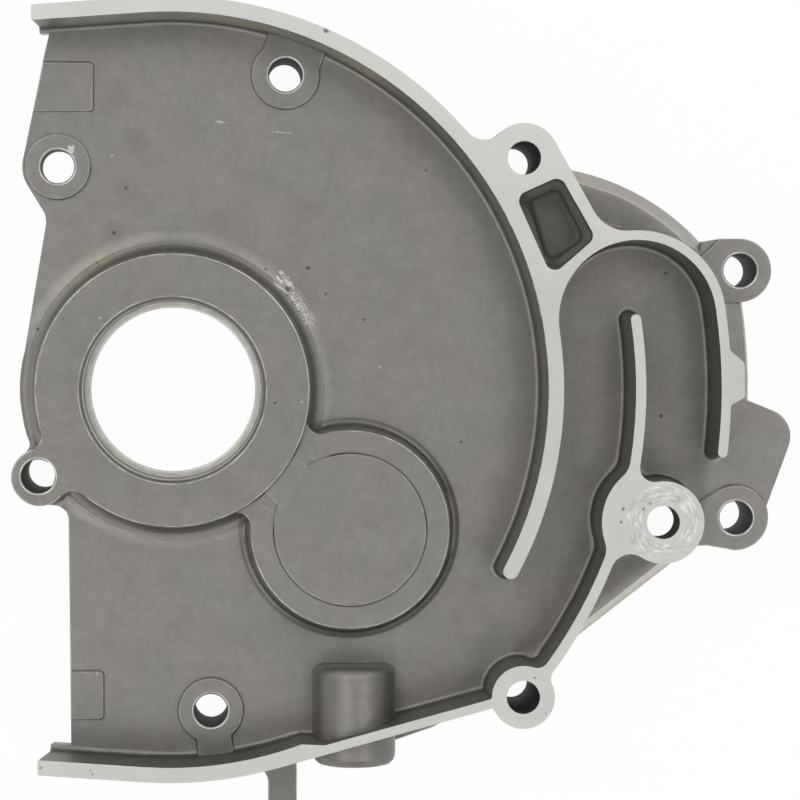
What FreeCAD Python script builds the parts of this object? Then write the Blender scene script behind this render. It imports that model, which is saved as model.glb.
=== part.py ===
"""Variator cover of a scooter: one die-cast aluminium cover with a shaft bore, a labyrinth and bolt bosses.

Millimetres. The origin lies on the shaft axis in the plane of the back gasket. +Z points to the
machined joint face of the chamber, +X to the labyrinth side and +Y to the upper end.
"""
import FreeCAD, Part
import math
import os
from FreeCAD import Vector

# Heights of the casting, from the back gasket plane at zero
JOINT_Z = 30.0
FLOOR_Z = 16.5
PLATE_T = 3.5
UNDER_Z = FLOOR_Z - PLATE_T
RING_Z = 24.7
BULGE_Z = 22.6
DISC_RISE = 0.8
BOSS_RISE = 1.0
PAD_RISE = 0.6

# Casting rules: draft of the walls, hollow at the foot of a wall, wall of the skirt
DRAFT = math.tan(math.radians(1.5))
FOOT_R = 1.4
FOOT_STEPS = 2
SINK = 0.03
ROOT = 1.0
SKIRT_T = 3.5
SKIRT_DRAFT = math.tan(math.radians(1.0))
EDGE_R = 1.2
PLATE_LAP = 7.0

# Shaft bore, oil seal seat and the spigot recess behind them
SEAL_R = 19.0
SEAL_DEPTH = 7.0
SEAL_CHAMFER = 0.6
LIP_R = 17.4
LIP_T = 2.0
SPIGOT_R = 20.0
HUB_R = 24.5
RING_R = 28.84
RING_DRAFT = math.tan(math.radians(5.0))
RING_FOOT_R = 3.2

# Chamber wall on a circle about the shaft, with a straight stretch at each left end
WALL_IN = 78.8
WALL_OUT = 82.0
WALL_MID = (WALL_IN + WALL_OUT) / 2
WALL_TURN = 94.2
WALL_STRAIGHT = 23.3
WALL_FREE_END = -28.2
UPPER_END_X = -29.0
UPPER_END_LEAN = 1.9
END_CUT_REACH = 4.2
LOWER_END_X = -28.1
LOWER_END_LEAN = 4.2

# Thin straight wall at the bottom, its direction of outward normal and its thickness
THIN_T = 1.95
THIN_NORMAL = -74.8
THIN_START = -70.0
THIN_EASE_X = 31.8

# Labyrinth: middle rib, outer wall and the arch that turns round the head of the rib
RIB_IN = 97.2
RIB_T = 2.15
RIB_HEAD = 8.7
OUTER_IN = 115.3
OUTER_T = 2.0
OUTER_END = -6.5
TAB_REACH = 3.0
TAB_ROOT = (-1.8, 4.6)
TAB_HEAD = (-0.7, 2.7)
TAB_CORNER_R = 1.0

# Bolt holes for M6 screws and their bosses: place, boss radius
BOLT_R = 3.5
BOLT_CHAMFER = 0.5
BOLT_CHAMFER_SLOPE = math.tan(math.radians(22))
UPPER_LEFT = (-24.33, 47.21)
UPPER = (23.88, 66.77)
POCKET_LUG = (73.61, 48.66)
RIGHT_UPPER = (121.16, 25.39)
RIGHT_LOWER = (120.45, -27.66)
DEEP = (103.02, -27.81)
BOTTOM_LUG = (73.52, -64.51)
BOTTOM = (7.85, -68.42)
LEFT = (-28.16, -18.0)
UPPER_LEFT_R = 6.9
UPPER_LEFT_EDGE_R = 7.5
UPPER_LEFT_T = 7.2
UPPER_R = 7.2
POCKET_LUG_R = 7.3
RIGHT_UPPER_R = 6.8
RIGHT_LOWER_R = 7.0
DEEP_R = 8.7
DEEP_LAND_R = 13.0
DEEP_FOOT_R = 0.9
DEEP_BOLT_LENGTH = 10.0
DEEP_COUNTERBORE_R = 7.0
BOTTOM_LUG_R = 6.65
BOTTOM_R = 6.9
LEFT_R = 6.0
LEFT_BODY = (-27.8, -18.25)
LEFT_NECK_R = 3.4
LEFT_EDGE_NECK_R = 2.6
UPPER_NECK = 12.6
BOTTOM_NECK = 7.6
BACK_BOSS_R = 6.6

# Plan radii where walls and lugs run into each other
NECK_R = 4.6
DEEP_NECKS = ((1, 3.0), (-1, 4.2))
LUG_NECK_R = 2.6
LAND_NECK_R = 5.0
ARCH_NECK_R = 8.0

# Core pocket beside the upper lug: corners as they lie in the joint face, corner radius and depth
POCKET = ((71.8, 40.7), (79.3, 23.9), (88.6, 32.0), (81.2, 44.9))
POCKET_CORNER_R = 2.1
POCKET_FLOOR = ((75.1, 40.0), (79.3, 26.4), (87.2, 32.0), (81.5, 42.9))
POCKET_DEPTH = 9.0
POCKET_FLOOR_R = 0.9
LAND_EDGE_ANGLE = 29.4

# Round bulge beside the ring, its raised disc and the bridge to the ring
BULGE = (37.4, -29.6)
BULGE_R = 21.1
BULGE_DRAFT = math.tan(math.radians(8.0))
BULGE_WALL = 3.6
DISC_R = 16.2
BRIDGE_W = 9.0
BRIDGE_FOOT_W = 15.0
BULGE_NECK_R = 3.0

# Half-round plug boss across the thin wall
PLUG_X = 38.35
PLUG_R = 8.75
PLUG_AXIS_Z = 18.7
PLUG_FROM_Y = -58.6
PLUG_TO_Y = -79.8
PLUG_LOW_Z = 9.0
PLUG_EDGE_R = 2.2

# Cast pads at the left edge: right end, lower and upper side
UPPER_PAD = (-16.8, 58.9, 69.3)
LOWER_PAD = (-14.9, -70.3, -59.9)
PAD_CORNER_R = 1.0

# Left edge of the plate
EDGE_TOP = (-25.5, 78.0)
EDGE_WAIST = (-26.6, 36.5)
EDGE_TUCK = 0.15
WAIST_R = 5.0
EDGE_LOW_X = -22.3
EDGE_LOW_Y = -24.9
EDGE_FOOT = (-21.8, -78.0)
EDGE_STEP_R = 3.2
EDGE_RIB_T = 3.0

# Low plate outside the labyrinth: upper shoulder, right edge, paddle and lower shoulder
SHOULDER = (75.5, -3.5)
SHOULDER_R = 51.4
SHOULDER_EDGE_R = 3.6
SHOULDER_FROM = 36.0
SHOULDER_TO = 86.0
SHOULDER_STEPS = 3
RIGHT_EDGE = 123.3
PADDLE = ((121.0, -1.7), (134.1, -6.8), (126.9, -26.0), (120.0, -26.0))
PADDLE_CORNER_R = 6.0
PADDLE_T = 5.0
SLOPE_NORMAL = -52.4
SLOPE_EDGE = 95.2
SLOPE_FROM = 22.0
SLOPE_TO = 70.0
LEDGE = ((46.0, -70.0), (47.4, -75.8), (55.4, -73.1), (62.5, -69.6), (62.5, -64.0))
LEDGE_Z = 12.0

# Webs of the two right bosses, each corner measured from the middle of its own boss
UPPER_WEB = ((0.0, 6.8), (-4.2, 6.8), (-8.8, 2.6), (-6.3, -6.8), (0.0, -6.8))
UPPER_LOW_WEB = ((0.0, 6.8), (-4.2, 6.8), (-8.0, 6.2), (-8.8, 2.6), (0.0, -6.8))
LOWER_WEB = ((0.0, -7.0), (-6.0, -6.0), (-17.4, -6.0), (-17.4, 3.4), (-7.8, 3.4), (-3.4, 6.1), (0.0, 0.0))

# Tab on the lower side
HANGER_X = 23.2
HANGER_W = 6.1
HANGER_REACH = 9.5
HANGER_LOW_Z = 4.0
HANGER_T = 8.0
HANGER_CORNER_R = 1.5
HANGER_NECK_R = 4.5

# Stiffening ribs behind the plate
BACK_RIB_T = 2.6
BACK_RIB_Z = 5.0
BACK_ARC_T = 2.8

ORIGIN = (0.0, 0.0)
UP = Vector(0, 0, 1)
REACH = 200.0
RIB_OUT = RIB_IN + RIB_T
OUTER_OUT = OUTER_IN + OUTER_T
ARCH_R = (OUTER_IN - WALL_OUT) / 2
ARCH_CENTRE_R = (OUTER_IN + WALL_OUT) / 2
SHARE = math.radians(RIB_HEAD)
ARCH = (ARCH_CENTRE_R * math.cos(SHARE), ARCH_CENTRE_R * math.sin(SHARE))


def polar(radius, angle, centre=ORIGIN):
    """Point at a radius and an angle in degrees about a centre."""
    turn = math.radians(angle)
    return (centre[0] + radius * math.cos(turn), centre[1] + radius * math.sin(turn))


def bearing(point, centre=ORIGIN):
    """Angle in degrees under which a point is seen from a centre."""
    return math.degrees(math.atan2(point[1] - centre[1], point[0] - centre[0]))


def circle_meet(first, first_r, second, second_r, side):
    """Point where two circles cross, on the left (+1) or right (-1) of the way from first to second."""
    distance = math.dist(first, second)
    along = (distance ** 2 + first_r ** 2 - second_r ** 2) / (2 * distance)
    aside = math.sqrt(max(first_r ** 2 - along ** 2, 0))
    ux = (second[0] - first[0]) / distance
    uy = (second[1] - first[1]) / distance
    return (first[0] + along * ux - side * aside * uy, first[1] + along * uy + side * aside * ux)


def tangent_point(outside, centre, radius, side):
    """Point where a line from an outside point touches a circle, on one side of the centre."""
    distance = math.dist(outside, centre)
    half = math.degrees(math.acos(min(radius / distance, 1.0)))
    return polar(radius, bearing(outside, centre) + side * half, centre)


def fuse(solids):
    """One solid from many that overlap."""
    return solids[0].multiFuse(solids[1:])


def prism(points, low, high):
    """Upright block with straight sides."""
    corners = [Vector(x, y, low) for x, y in points]
    return Part.Face(Part.makePolygon(corners + corners[:1])).extrude(UP * (high - low))


def column(centre, radius, low, high, slope=0.0):
    """Upright round boss that widens toward its foot."""
    place = Vector(centre[0], centre[1], low)
    if slope == 0:
        return Part.makeCylinder(radius, high - low, place)
    return Part.makeCone(radius + slope * (high - low), radius, high - low, place)


def round_upright(solid, radius, chosen=None):
    """Rounds the upright edges of a block, all of them or those near the chosen points."""
    edges = []
    for edge in solid.Edges:
        ends = [vertex.Point for vertex in edge.Vertexes]
        if len(ends) == 2 and (ends[0] - ends[1]).cross(UP).Length < SINK:
            spots = [math.dist((ends[0].x, ends[0].y), spot) for spot in chosen or []]
            if chosen is None or min(spots) < ROOT:
                edges.append(edge)
    return solid.makeFillet(radius, edges)


def foot_curve(edge, top, floor, spread, slope, foot):
    """Points down a wall in section: its top edge, the drafted side, the hollow foot and the floor."""
    lean = math.atan(slope)
    low = floor - SINK
    centre_u = edge + spread * ((top - low) * slope + foot * (1 - math.sin(lean)) / math.cos(lean))
    points = [Vector(edge, 0, top)]
    steps = FOOT_STEPS if foot < RING_FOOT_R else FOOT_STEPS + 1
    for i in range(steps + 1):
        turn = lean + (math.pi / 2 - lean) * i / steps
        points += [Vector(centre_u - spread * foot * math.cos(turn), 0, low + foot - foot * math.sin(turn))]
    return points


def flank(edge, top, floor, spread, slope, foot):
    """Side of a wall in section as a run of edges, and the point where its foot reaches the floor."""
    points = foot_curve(edge, top, floor, spread, slope, foot)
    return [Part.makeLine(a, b) for a, b in zip(points, points[1:])], points[-1]


def closed_face(edges, corners):
    """Face between a run of edges and the straight lines through the corners that close it."""
    lines = [Part.makeLine(a, b) for a, b in zip(corners, corners[1:])]
    return Part.Face(Part.Wire(Part.__sortEdges__(edges + lines)))


def rib_section(inner, outer, outside_foot=True):
    """Section of a wall on the floor, with a hollow foot inside and, unless left out, outside."""
    left, left_end = flank(inner, JOINT_Z, FLOOR_Z, -1, DRAFT, FOOT_R)
    low = FLOOR_Z - ROOT
    crown = Part.makeLine(Vector(inner, 0, JOINT_Z), Vector(outer, 0, JOINT_Z))
    if outside_foot:
        right, right_end = flank(outer, JOINT_Z, FLOOR_Z, 1, DRAFT, FOOT_R)
        corners = [left_end, Vector(left_end.x, 0, low), Vector(right_end.x, 0, low), right_end]
        return closed_face(left + right + [crown], corners)
    base = outer + (JOINT_Z - UNDER_Z) * DRAFT
    corners = [left_end, Vector(left_end.x, 0, UNDER_Z), Vector(base, 0, UNDER_Z)]
    return closed_face(left + [crown], corners + [Vector(outer, 0, JOINT_Z)])


def rim_section(inner, outer, lap=PLATE_LAP):
    """Section of the outer wall: joint face, hollow foot inside, and the skirt down to the back gasket."""
    left, left_end = flank(inner, JOINT_Z, FLOOR_Z, -1, DRAFT, FOOT_R)
    back = outer + JOINT_Z * SKIRT_DRAFT
    inside = left_end.x - lap
    corners = [Vector(inner, 0, JOINT_Z), Vector(outer, 0, JOINT_Z), Vector(back, 0, 0)]
    corners += [Vector(back - SKIRT_T, 0, 0), Vector(outer - SKIRT_T, 0, UNDER_Z)]
    corners += [Vector(inside, 0, UNDER_Z)]
    if lap > 0:
        corners += [Vector(inside, 0, left_end.z)]
    return closed_face(left, corners + [left_end])


def shoulder_section(outer, edge_r):
    """Section of the low plate at its outer edge: rounded shoulder and skirt."""
    back = outer + FLOOR_Z * SKIRT_DRAFT
    inside = outer - SKIRT_T - PLATE_LAP
    steps = FOOT_STEPS + 1
    bend = []
    for i in range(steps + 1):
        turn = math.pi / 2 * i / steps
        drop = edge_r * (1 - math.cos(turn))
        bend += [Vector(outer - edge_r + edge_r * math.sin(turn), 0, FLOOR_Z - drop)]
    corners = bend + [Vector(back, 0, 0), Vector(back - SKIRT_T, 0, 0), Vector(outer - SKIRT_T, 0, UNDER_Z)]
    corners += [Vector(inside, 0, UNDER_Z), Vector(inside, 0, FLOOR_Z), bend[0]]
    return closed_face([], corners)


def turned(face, start, end, centre=ORIGIN):
    """Section swept about an upright axis from one angle to another."""
    solid = face.revolve(Vector(0, 0, 0), UP, end - start)
    solid.rotate(Vector(0, 0, 0), UP, start)
    solid.translate(Vector(centre[0], centre[1], 0))
    return solid


def drawn(face, normal, start, end):
    """Section drawn straight, square to the outward normal of its wall."""
    solid = face.extrude(Vector(0, end - start, 0))
    solid.translate(Vector(0, start, 0))
    solid.rotate(Vector(0, 0, 0), UP, normal)
    return solid


def boss_section(radius, top, slope=DRAFT, foot=FOOT_R):
    """Half section of a round boss that stands on the floor."""
    right, end = flank(radius, top, FLOOR_Z, 1, slope, foot)
    low = FLOOR_Z - ROOT
    corners = [Vector(radius, 0, top), Vector(0, 0, top), Vector(0, 0, low), Vector(end.x, 0, low), end]
    return closed_face(right, corners)


def floor_boss(centre, radius, top, slope=DRAFT, foot=FOOT_R):
    """Round boss with a hollow foot on the floor."""
    return turned(boss_section(radius, top, slope, foot), 0, 360, centre)


def neck_core(centre, radius, top=JOINT_Z):
    """Round core that leaves a hollow neck between two walls, with the same draft and foot as they have."""
    points = foot_curve(radius, top, FLOOR_Z, -1, DRAFT, min(FOOT_R, radius / 2))
    end = Vector(max(points[-1].x, SINK), 0, points[-1].z)
    edges = [Part.makeLine(a, b) for a, b in zip(points[:-1], points[1:-1] + [end])]
    high = top + ROOT
    deep = FLOOR_Z - 2 * ROOT
    corners = [end, Vector(end.x, 0, deep), Vector(0, 0, deep)]
    corners += [Vector(0, 0, high), Vector(radius, 0, high), points[0]]
    return turned(closed_face(edges, corners), 0, 360, centre)


def neck(points, centre, radius):
    """Web between two walls whose free side is a hollow round about a centre."""
    return prism(list(points) + [centre], FLOOR_Z - ROOT, JOINT_Z).cut(neck_core(centre, radius))


def rounded_block(points, low, high, radius):
    """Upright block with rounded corners."""
    return round_upright(prism(points, low, high), radius)


def left_edge():
    """Left edge of the plate from the upper corner down to the bore ring: touching points and the waist."""
    first = tangent_point(EDGE_TOP, UPPER_LEFT, UPPER_LEFT_EDGE_R, 1)
    second = tangent_point(EDGE_WAIST, UPPER_LEFT, UPPER_LEFT_EDGE_R, -1)
    third = tangent_point(EDGE_WAIST, ORIGIN, ring_foot() - EDGE_TUCK, 1)
    return [EDGE_TOP, first, second, EDGE_WAIST, third]


def plate_field():
    """Everything on the right of the plate's left edge, from the gasket plane to the joint face."""
    step = (EDGE_LOW_X, EDGE_LOW_Y)
    points = left_edge() + [LEFT_BODY, tangent_point(step, LEFT_BODY, LEFT_R, -1), step, EDGE_FOOT]
    field = prism(points + [(REACH, EDGE_FOOT[1]), (REACH, EDGE_TOP[1])], 0, JOINT_Z)
    field = round_upright(field, WAIST_R, [EDGE_WAIST])
    return round_upright(field, EDGE_STEP_R, [(EDGE_LOW_X, EDGE_LOW_Y)])


def plate():
    """Floor of the chamber and of the labyrinth, as far as the middle of the outer walls."""
    upper = polar(WALL_MID, WALL_TURN)
    lower = polar(WALL_MID, -WALL_TURN)
    left = [upper, polar(WALL_STRAIGHT, WALL_TURN + 90, upper)]
    left += [polar(WALL_STRAIGHT, -WALL_TURN - 90, lower), lower]
    panel = fuse([column(ORIGIN, WALL_MID, UNDER_Z, FLOOR_Z), prism(left, UNDER_Z, FLOOR_Z)])
    inset = SHOULDER_R - SHOULDER_EDGE_R - ROOT
    step = (SHOULDER_TO - SHOULDER_FROM) / SHOULDER_STEPS
    side = [polar(inset, SHOULDER_TO - i * step, SHOULDER) for i in range(SHOULDER_STEPS)]
    side += [RIGHT_UPPER, polar(RIGHT_EDGE - SKIRT_T - ROOT, 0), RIGHT_LOWER, DEEP]
    slope = polar(SLOPE_EDGE - SHOULDER_EDGE_R - ROOT, SLOPE_NORMAL)
    along = SLOPE_NORMAL + 90
    side += [polar(SLOPE_TO - SKIRT_T, along, slope), polar(SLOPE_FROM + SKIRT_T, along, slope)]
    side += [BOTTOM_LUG, polar(WALL_MID, THIN_NORMAL), ORIGIN, POCKET_LUG]
    corner = column(UPPER_LEFT, UPPER_LEFT_EDGE_R, UNDER_Z, FLOOR_Z)
    return fuse([panel.common(plate_field()), prism(side, UNDER_Z, FLOOR_Z), corner])


def ring_foot():
    """Radius at which the hollow foot of the bore ring reaches the floor."""
    edges, end = flank(RING_R, RING_Z, FLOOR_Z, 1, RING_DRAFT, RING_FOOT_R)
    return end.x


def chamber_wall():
    """Wall round the chamber: arc, straight left ends, thin lower wall and the free end inside."""
    rim = rim_section(WALL_IN, WALL_OUT)
    rib = rib_section(WALL_IN, WALL_OUT)
    lug = bearing(POCKET_LUG)
    thin = rim_section(WALL_OUT - THIN_T, WALL_OUT)
    reach = math.cos(math.radians(bearing(BOTTOM_LUG) - THIN_NORMAL - 90)) * math.dist(ORIGIN, BOTTOM_LUG)
    parts = [turned(rim, lug, WALL_TURN), turned(rib, WALL_FREE_END, lug)]
    parts += [turned(rim, -WALL_TURN, THIN_START)]
    ends = rim_section(WALL_IN, WALL_OUT, 0)
    parts += [drawn(ends, WALL_TURN, 0, WALL_STRAIGHT + ROOT)]
    parts += [drawn(ends, -WALL_TURN, -WALL_STRAIGHT - ROOT, 0)]
    parts += [drawn(thin, THIN_NORMAL, 0, reach)]
    half = (WALL_OUT - WALL_IN) / 2
    parts += [floor_boss(polar(WALL_MID, WALL_FREE_END), half, JOINT_Z)]
    return fuse(parts + [thin_ease()])


def thin_ease():
    """Short straight stretch that leads the thick wall's inner face over to the thin wall."""
    start = polar(WALL_IN, THIN_START)
    inner = WALL_OUT - THIN_T
    turn = math.radians(THIN_NORMAL)
    end = (THIN_EASE_X, (inner - THIN_EASE_X * math.cos(turn)) / math.sin(turn))
    way = bearing(end, start)
    normal = math.radians(way - 90)
    face = start[0] * math.cos(normal) + start[1] * math.sin(normal)
    first = start[0] * math.cos(math.radians(way)) + start[1] * math.sin(math.radians(way))
    section = rib_section(face, face + (WALL_OUT - WALL_IN) / 2, False)
    return drawn(section, way - 90, first, first + math.dist(start, end))


def wall_end_cut(top_x, lean, side):
    """Wedge that slants the left end of the upper (+1) or lower (-1) wall."""
    low_y, high_y = sorted((side * (WALL_IN - END_CUT_REACH), side * REACH))
    spare = ROOT / JOINT_Z * lean
    corners = [Vector(top_x - spare, low_y, JOINT_Z + ROOT), Vector(top_x + lean + spare, low_y, -ROOT)]
    corners += [Vector(top_x - REACH, low_y, -ROOT), Vector(top_x - REACH, low_y, JOINT_Z + ROOT)]
    face = Part.Face(Part.makePolygon(corners + corners[:1]))
    return face.extrude(Vector(0, high_y - low_y, 0))


def labyrinth():
    """Middle rib down to the bottom lug, outer wall with its tab, and the arch between the two walls."""
    rib = rib_section(RIB_IN, RIB_OUT)
    outer = rib_section(OUTER_IN, OUTER_OUT)
    arch = rib_section(ARCH_R, ARCH_R + OUTER_T, False)
    leave = math.degrees(math.acos(min(SLOPE_EDGE / RIB_OUT, 1.0)))
    corner = SLOPE_NORMAL + leave
    low = bearing(BOTTOM_LUG)
    parts = [turned(rib, bearing(DEEP), RIB_HEAD), turned(rim_section(RIB_IN, RIB_OUT), low, corner)]
    parts += [turned(rib_section(RIB_IN, RIB_OUT, False), corner, bearing(DEEP))]
    parts += [turned(outer, OUTER_END, RIB_HEAD), turned(arch, RIB_HEAD, RIB_HEAD + 180, ARCH)]
    parts += [floor_boss(polar(RIB_IN + RIB_T / 2, RIB_HEAD), RIB_T / 2, JOINT_Z)]
    parts += [floor_boss(polar(OUTER_IN + OUTER_T / 2, OUTER_END), OUTER_T / 2, JOINT_Z)]
    return fuse(parts + [outer_tab()])


def outer_tab():
    """Flat tab on the outside of the labyrinth wall, level with the joint face."""
    inside = OUTER_IN + OUTER_T / 2
    outside = OUTER_OUT + TAB_REACH
    (root_low, root_high), (head_low, head_high) = TAB_ROOT, TAB_HEAD
    points = [polar(inside, root_low), polar(outside, head_low)]
    points += [polar(outside, head_high), polar(inside, root_high)]
    block = prism(points, UNDER_Z, JOINT_Z)
    return round_upright(block, TAB_CORNER_R, points[1:3])


def land():
    """Solid land between the chamber wall, the upper lug and the arch, before its pocket."""
    edge = polar(POCKET_LUG_R, LAND_EDGE_ANGLE, POCKET_LUG)
    centre_line = polar(ARCH_NECK_R, LAND_EDGE_ANGLE, edge)
    along = LAND_EDGE_ANGLE - 90
    turn = math.radians(along)
    ahead = (ARCH[0] - centre_line[0]) * math.cos(turn) + (ARCH[1] - centre_line[1]) * math.sin(turn)
    beside = math.dist(centre_line, ARCH) ** 2 - ahead ** 2
    far = ARCH_R + OUTER_T + ARCH_NECK_R
    run = ahead - math.sqrt(max(far ** 2 - beside, 0))
    hollow = polar(run, along, centre_line)
    touch = polar(run, along, edge)
    lug = bearing(POCKET_LUG)
    wall = [polar(WALL_MID, turn) for turn in (RIB_HEAD, (RIB_HEAD + lug) / 2, lug)]
    block = prism([POCKET_LUG, edge, touch, hollow, ARCH] + wall, FLOOR_Z - ROOT, JOINT_Z)
    return block.cut(neck_core(hollow, ARCH_NECK_R)).cut(arch_core())


def arch_core():
    """Core of the round head of the labyrinth."""
    return neck_core(ARCH, ARCH_R)


def pocket_outline(corners, inset, z):
    """Level outline of the pocket with rounded corners, drawn in by an inset."""
    block = rounded_block(corners, z, z + ROOT, POCKET_CORNER_R)
    wire = [face for face in block.Faces if face.BoundBox.ZMax < z + SINK][0].OuterWire
    return wire.makeOffset2D(-inset) if inset > 0 else wire


def pocket_core():
    """Tapered core of the pocket beside the upper lug, with a chamfered floor."""
    floor_z = JOINT_Z - POCKET_DEPTH
    outlines = [pocket_outline(POCKET_FLOOR, POCKET_FLOOR_R, floor_z)]
    outlines += [pocket_outline(POCKET_FLOOR, 0, floor_z + POCKET_FLOOR_R)]
    outlines += [pocket_outline(POCKET, 0, JOINT_Z)]
    return Part.makeLoft(outlines, True, True)


def lugs():
    """Bolt lugs of the joint face, with the hollow necks that tie them to the walls."""
    inside = prism([ORIGIN, polar(WALL_OUT - THIN_T, THIN_NORMAL), BOTTOM_LUG, DEEP], 0, JOINT_Z)
    parts = [floor_boss(BOTTOM_LUG, BOTTOM_LUG_R, JOINT_Z).common(inside)]
    parts += [column(POCKET_LUG, POCKET_LUG_R, 0, JOINT_Z)]
    parts += [column(BOTTOM_LUG, BOTTOM_LUG_R, 0, JOINT_Z)]
    centre = circle_meet(ORIGIN, WALL_OUT + NECK_R, POCKET_LUG, POCKET_LUG_R + NECK_R, 1)
    ties = [polar(WALL_MID, bearing(centre)), polar(WALL_MID, bearing(POCKET_LUG)), POCKET_LUG]
    parts += [prism(ties + [centre], 0, JOINT_Z).cut(column(centre, NECK_R, -ROOT, JOINT_Z + ROOT))]
    centre = circle_meet(ORIGIN, RIB_OUT + LUG_NECK_R, BOTTOM_LUG, BOTTOM_LUG_R + LUG_NECK_R, 1)
    ties = [polar(RIB_OUT - RIB_T / 2, bearing(centre)), BOTTOM_LUG]
    parts += [prism(ties + [centre], 0, JOINT_Z).cut(column(centre, LUG_NECK_R, -ROOT, JOINT_Z + ROOT))]
    centre = circle_meet(ORIGIN, RIB_IN - LUG_NECK_R, BOTTOM_LUG, BOTTOM_LUG_R + LUG_NECK_R, 1)
    parts += [neck([polar(RIB_IN + RIB_T / 2, bearing(centre)), BOTTOM_LUG], centre, LUG_NECK_R)]
    return fuse(parts)


def deep_boss():
    """Large boss of the deep bolt, with its wide land inside the labyrinth."""
    land_disc = floor_boss(DEEP, DEEP_LAND_R, JOINT_Z)
    keep = column(ORIGIN, RIB_OUT - RIB_T / 2, 0, JOINT_Z)
    x, y = DEEP
    left, right = x - DEEP_LAND_R, x + DEEP_LAND_R
    above = prism([(left, y), (right, y), (right, y + DEEP_LAND_R), (left, y + DEEP_LAND_R)], 0, JOINT_Z)
    parts = [land_disc.common(keep), floor_boss(DEEP, DEEP_R, JOINT_Z, DRAFT, DEEP_FOOT_R).common(above)]
    parts += [column(DEEP, DEEP_R, 0, JOINT_Z)]
    middle = RIB_OUT - RIB_T / 2
    for side, radius in DEEP_NECKS:
        centre = circle_meet(ORIGIN, RIB_OUT + radius, DEEP, DEEP_R + radius, side)
        ties = [polar(middle, bearing(centre)), polar(middle, bearing(DEEP)), DEEP]
        parts += [neck(ties, centre, radius)]
        centre = circle_meet(ORIGIN, RIB_IN - LAND_NECK_R, DEEP, DEEP_LAND_R + LAND_NECK_R, side)
        parts += [neck([polar(RIB_IN + RIB_T / 2, bearing(centre)), DEEP], centre, LAND_NECK_R)]
    return fuse(parts)


def bore_ring():
    """Ring round the shaft bore with its hub behind the plate."""
    edges, end = flank(RING_R, RING_Z, FLOOR_Z, 1, RING_DRAFT, RING_FOOT_R)
    corners = [Vector(RING_R, 0, RING_Z), Vector(0, 0, RING_Z), Vector(0, 0, UNDER_Z)]
    ring = turned(closed_face(edges, corners + [Vector(end.x, 0, UNDER_Z), end]), 0, 360)
    return fuse([ring, column(ORIGIN, HUB_R, 0, UNDER_Z + ROOT)])


def bulge():
    """Round bulge with its raised disc, and the bridge that joins the disc to the ring."""
    body = floor_boss(BULGE, BULGE_R, BULGE_Z, BULGE_DRAFT)
    top = BULGE_Z + DISC_RISE
    disc = column(BULGE, DISC_R, BULGE_Z - ROOT, top)
    way = bearing(BULGE)
    near = polar(RING_R - ROOT, way)
    half = BRIDGE_W / 2
    foot = BRIDGE_FOOT_W / 2
    section = [(-foot, FLOOR_Z), (-foot, BULGE_Z - SINK), (-half, top), (half, top)]
    section += [(foot, BULGE_Z - SINK), (foot, FLOOR_Z)]
    corners = [Vector(0, y, z) for y, z in section]
    bridge = Part.Face(Part.makePolygon(corners + corners[:1]))
    bridge = bridge.extrude(Vector(math.dist(near, BULGE), 0, 0))
    bridge.rotate(Vector(), UP, way)
    bridge.translate(Vector(near[0], near[1], 0))
    parts = [body, disc, bridge]
    for side in (1, -1):
        reach = BULGE_R + BULGE_NECK_R - SINK
        centre = circle_meet(ORIGIN, RING_R + BULGE_NECK_R, BULGE, reach, side)
        ties = [polar(RING_R - ROOT, bearing(centre)), near]
        ties += [polar(BULGE_R - ROOT, bearing(centre, BULGE), BULGE)]
        block = prism(ties + [centre], FLOOR_Z - ROOT, BULGE_Z)
        parts += [block.cut(neck_core(centre, BULGE_NECK_R, BULGE_Z))]
    return fuse(parts)


def bulge_hollow():
    """Hollow behind the bulge, which keeps its wall even."""
    return column(BULGE, BULGE_R - BULGE_WALL, -ROOT, BULGE_Z - BULGE_WALL)


def web(centre, corners, low, top):
    """Upright web whose corners are measured from the middle of its boss."""
    return prism([(centre[0] + x, centre[1] + y) for x, y in corners], low, top)


def floor_bosses():
    """Low bolt bosses on the floor and at the right edge, with their necks."""
    top = FLOOR_Z + BOSS_RISE
    low = top - UPPER_LEFT_T
    parts = [column(UPPER_LEFT, UPPER_LEFT_R, low, top)]
    parts += [column(UPPER_LEFT, UPPER_LEFT_EDGE_R, low, FLOOR_Z)]
    for centre, radius, width in ((UPPER, UPPER_R, UPPER_NECK), (BOTTOM, BOTTOM_R, BOTTOM_NECK)):
        way = bearing(centre)
        wall = polar(WALL_MID, way)
        points = [polar(width / 2, way + turn, spot) for spot, turn in
                  ((centre, 90), (centre, -90), (wall, -90), (wall, 90))]
        parts += [column(centre, radius, UNDER_Z, top), prism(points, UNDER_Z, top)]
        parts += [column(centre, BACK_BOSS_R, 0, UNDER_Z + ROOT)]
    parts += [column(RIGHT_UPPER, RIGHT_UPPER_R, 0, top), column(RIGHT_LOWER, RIGHT_LOWER_R, 0, top)]
    parts += [web(RIGHT_UPPER, UPPER_WEB, UNDER_Z, top), web(RIGHT_UPPER, UPPER_LOW_WEB, UNDER_Z, FLOOR_Z)]
    parts += [web(RIGHT_LOWER, LOWER_WEB, 0, top)]
    return fuse(parts)


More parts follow.
